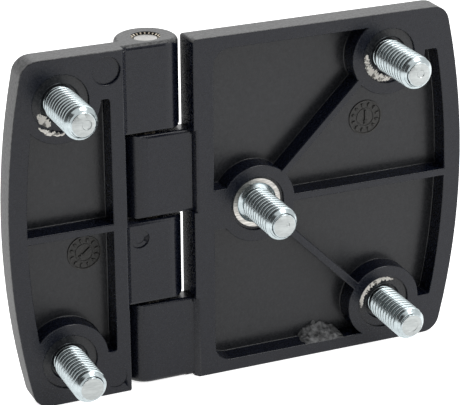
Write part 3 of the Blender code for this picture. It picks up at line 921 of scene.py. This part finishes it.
def add_pin_material():
    """Turned steel, darker towards brown in patches."""
    nodes = Nodes("turned_pin_steel")
    colour = nodes.ramp(nodes.noise(1100, 3.0), (0.3, (0.30, 0.25, 0.18)), (0.7, (0.62, 0.57, 0.48)))
    nodes.link(colour, nodes.shader.inputs["Base Color"])
    nodes.shader.inputs["Metallic"].default_value = 1.0
    rough = nodes.ramp(nodes.noise(1500), (0.3, grey(0.22)), (0.7, grey(0.34)))
    nodes.link(rough, nodes.shader.inputs["Roughness"])
    nodes.bump(nodes.noise(2500, 3.0), 0.15, 0.01 * MM)
    return nodes.material


def add_residue_material():
    """Pale, dry patches between darker ones."""
    nodes = Nodes("pale_residue")
    patches = nodes.noise(1500, 4.0)
    colour = nodes.ramp(patches, (0.38, (0.15, 0.143, 0.125)), (0.48, (0.92, 0.885, 0.82)))
    nodes.link(colour, nodes.shader.inputs["Base Color"])
    rough = nodes.ramp(patches, (0.3, grey(0.5)), (0.7, grey(0.7)))
    nodes.link(rough, nodes.shader.inputs["Roughness"])
    nodes.bump(patches, 0.5, 0.05 * MM)
    return nodes.material


def add_camera():
    """The camera at the photograph's viewing angle."""
    back = direction(CAMERA_AZIMUTH, CAMERA_ELEVATION)
    data = bpy.data.cameras.new("camera")
    data.lens = CAMERA_LENS
    data.clip_start = 0.01
    data.clip_end = 20.0
    camera = bpy.data.objects.new("camera", data)
    bpy.context.scene.collection.objects.link(camera)
    turn = back.to_track_quat("Z", "Y").to_matrix().to_4x4()
    roll = Matrix.Rotation(math.radians(CAMERA_ROLL), 4, "Z")
    camera.matrix_world = Matrix.Translation(CAMERA_TARGET + back * CAMERA_DISTANCE) @ turn @ roll
    bpy.context.scene.camera = camera


def direction(azimuth, elevation):
    """The unit vector at an azimuth, seen from above and from straight behind, and an elevation."""
    across = math.radians(azimuth)
    up = math.radians(elevation)
    return Vector((math.sin(across) * math.cos(up), -math.cos(across) * math.cos(up), math.sin(up)))


def add_lamp(name, azimuth, elevation, distance, size, power):
    """A soft rectangular lamp that points at the hinge and isn't seen by the camera."""
    data = bpy.data.lights.new(name, "AREA")
    data.shape = "RECTANGLE"
    data.size, data.size_y = size
    data.energy = power
    lamp = bpy.data.objects.new(name, data)
    bpy.context.scene.collection.objects.link(lamp)
    place = direction(azimuth, elevation)
    lamp.location = place * distance
    lamp.rotation_euler = place.to_track_quat("Z", "Y").to_euler()
    lamp.visible_camera = False


def seen_rays(tree):
    """1 for the rays by which the camera, metal and glass see the background, and 0 for other light."""
    path = tree.nodes.new("ShaderNodeLightPath")
    direct = tree.nodes.new("ShaderNodeMath")
    direct.operation = "MAXIMUM"
    tree.links.new(path.outputs["Is Camera Ray"], direct.inputs[0])
    tree.links.new(path.outputs["Is Glossy Ray"], direct.inputs[1])
    seen = tree.nodes.new("ShaderNodeMath")
    seen.operation = "MAXIMUM"
    tree.links.new(direct.outputs["Value"], seen.inputs[0])
    tree.links.new(path.outputs["Is Transmission Ray"], seen.inputs[1])
    return seen.outputs["Value"]


def add_world():
    """A white surround that lights the hinge at WORLD_LEVEL and is seen as plain white."""
    world = bpy.data.worlds.new("studio")
    bpy.context.scene.world = world
    world.use_nodes = True
    tree = world.node_tree
    level = tree.nodes.new("ShaderNodeMapRange")
    level.inputs["To Min"].default_value = WORLD_LEVEL
    level.inputs["To Max"].default_value = 1.0
    tree.links.new(seen_rays(tree), level.inputs["Value"])
    tree.links.new(level.outputs["Result"], tree.nodes["Background"].inputs["Strength"])
    tree.nodes["Background"].inputs["Color"].default_value = (1.0, 1.0, 1.0, 1.0)


def stage_material(name, value):
    """A dull grey surface for the floor and the card."""
    material = bpy.data.materials.new(name)
    material.use_nodes = True
    shader = material.node_tree.nodes["Principled BSDF"]
    shader.inputs["Base Color"].default_value = (*grey(value), 1.0)
    shader.inputs["Roughness"].default_value = 1.0
    shader.inputs["Specular IOR Level"].default_value = 0.0
    return material


def add_floor():
    """The pale floor just under the hinge, which is seen nearly white and keeps the hinge's shadow."""
    mesh = bpy.data.meshes.new("floor")
    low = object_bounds()[0].z - FLOOR_GAP
    reach = FLOOR_REACH
    corners = [(-reach, -reach, low), (reach, -reach, low), (reach, reach, low), (-reach, reach, low)]
    mesh.from_pydata(corners, [], [(0, 1, 2, 3)])
    floor = link("floor", mesh)
    material = stage_material("floor", 0.9)
    tree = material.node_tree
    shader = tree.nodes["Principled BSDF"]
    lift = tree.nodes.new("ShaderNodeMath")
    lift.operation = "MULTIPLY"
    lift.inputs[1].default_value = FLOOR_LIFT
    tree.links.new(seen_rays(tree), lift.inputs[0])
    tree.links.new(lift.outputs["Value"], shader.inputs["Emission Strength"])
    shader.inputs["Emission Color"].default_value = (1.0, 1.0, 1.0, 1.0)
    mesh.materials.append(material)
    floor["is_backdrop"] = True


def add_flag():
    """A dark curved card in front of the hinge, left of the key lamp, that the studs mirror."""
    shape = bmesh.new()
    rows = []
    for row in range(FLAG_STEPS + 1):
        share = row / FLAG_STEPS
        elevation = FLAG_ELEVATIONS[0] + (FLAG_ELEVATIONS[1] - FLAG_ELEVATIONS[0]) * share
        points = []
        for column in range(FLAG_STEPS + 1):
            turn = column / FLAG_STEPS
            azimuth = FLAG_AZIMUTHS[0] + (FLAG_AZIMUTHS[1] - FLAG_AZIMUTHS[0]) * turn
            points.append(shape.verts.new(direction(azimuth, elevation) * FLAG_DISTANCE))
        rows.append(points)
    for low, high in zip(rows, rows[1:]):
        for column in range(FLAG_STEPS):
            shape.faces.new((low[column], low[column + 1], high[column + 1], high[column]))
    flag = link("dark_card", to_mesh(shape, "dark_card"))
    flag.data.materials.append(stage_material("dark_card", 0.08))
    flag.visible_camera = False
    flag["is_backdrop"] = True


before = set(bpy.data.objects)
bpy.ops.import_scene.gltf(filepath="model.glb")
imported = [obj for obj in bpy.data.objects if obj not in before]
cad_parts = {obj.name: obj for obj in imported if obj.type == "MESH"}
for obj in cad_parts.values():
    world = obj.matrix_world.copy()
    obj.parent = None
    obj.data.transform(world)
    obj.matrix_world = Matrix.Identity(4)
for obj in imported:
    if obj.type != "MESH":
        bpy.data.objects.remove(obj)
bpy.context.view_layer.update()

bpy.context.scene.view_settings.view_transform = "Standard"
add_camera()
add_world()
add_lamp("key", KEY_AZIMUTH, KEY_ELEVATION, KEY_DISTANCE, KEY_SIZE, KEY_POWER)
add_lamp("edge_light", EDGE_AZIMUTH, EDGE_ELEVATION, EDGE_DISTANCE, EDGE_SIZE, EDGE_POWER)
add_lamp("top_light", TOP_AZIMUTH, TOP_ELEVATION, TOP_DISTANCE, TOP_SIZE, TOP_POWER)
add_floor()
add_flag()

materials = {
    "moulding": add_moulding_material(),
    "grain_and_sheen": add_grain_and_painted_sheen_material(),
    "zinc": add_zinc_material(),
    "zinc_face": add_scratched_material("zinc_plated_face", (0.345, 0.365, 0.365), (0.435, 0.46, 0.455)),
    "collar": add_scratched_material("collar_face", (0.26, 0.255, 0.24), (0.62, 0.60, 0.565)),
    "pin_end": add_scratched_material("pin_end_steel", (0.21, 0.205, 0.195), (0.30, 0.296, 0.284)),
    "dial": add_dark_variant("dial_moulding", (0.002, 0.002, 0.002), (0.045, 0.043, 0.039), 3200),
    "torn": add_dark_variant("torn_moulding", (0.02, 0.02, 0.021), (0.16, 0.163, 0.166), 1300),
    "residue": add_residue_material(),
    "pin": add_pin_material(),
}
for node, body, side in (("narrow_leaf", "frame_side", 1), ("wide_leaf", "door_side", -1)):
    leaf = copied_leaf(node, node + "_moulding")
    for low, high in KNUCKLES[node]:
        round_barrel(leaf, side, BARREL_ROUNDINGS[node], low * MM, high * MM)
    round_knuckle_end(leaf, BARREL_ROUNDINGS[node], side < 0)
    round_root_corner(leaf, -side, *ROOT_CORNERS[node])
    for x, z, radius, surface, depth in RECESSES[node]:
        cut(leaf, disc_cutter("recess", x * MM, z * MM, radius * MM, surface - MM, surface + depth * MM))
    fillet_leaf(leaf)
    paint_leaf(leaf, materials)
    even_shading(leaf)
    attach(leaf, body)
    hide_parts(node)

for node, x, z, body in (
    ("narrow_stud_upper", NARROW_STUD_X, STUD_Z, "frame_side"),
    ("narrow_stud_lower", NARROW_STUD_X, -STUD_Z, "frame_side"),
    ("wide_stud_upper", WIDE_STUD_X, STUD_Z, "door_side"),
    ("wide_stud_middle", MIDDLE_STUD_X, 0.0, "door_side"),
    ("wide_stud_lower", WIDE_STUD_X, -STUD_Z, "door_side"),
):
    stud = add_stud(node + "_thread", x, z, body, materials)
    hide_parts(node)
    profile = COLLAR_SEAT_PROFILE if node == "wide_stud_middle" else SKIN_PROFILE
    add_skin(node + "_skin", profile, x, z, body, materials)
for name, x, z, level, start, end, inner, outer, body in RESIDUES:
    add_residue("residue_" + name, x, z, level, start, end, inner, outer, body, materials)
add_dial("date_dial_narrow", *NARROW_DIAL, "frame_side", materials)
add_dial("date_dial_wide", *WIDE_DIAL, "door_side", materials)
add_gate_remnant(materials)
add_pin(materials)

low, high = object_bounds()
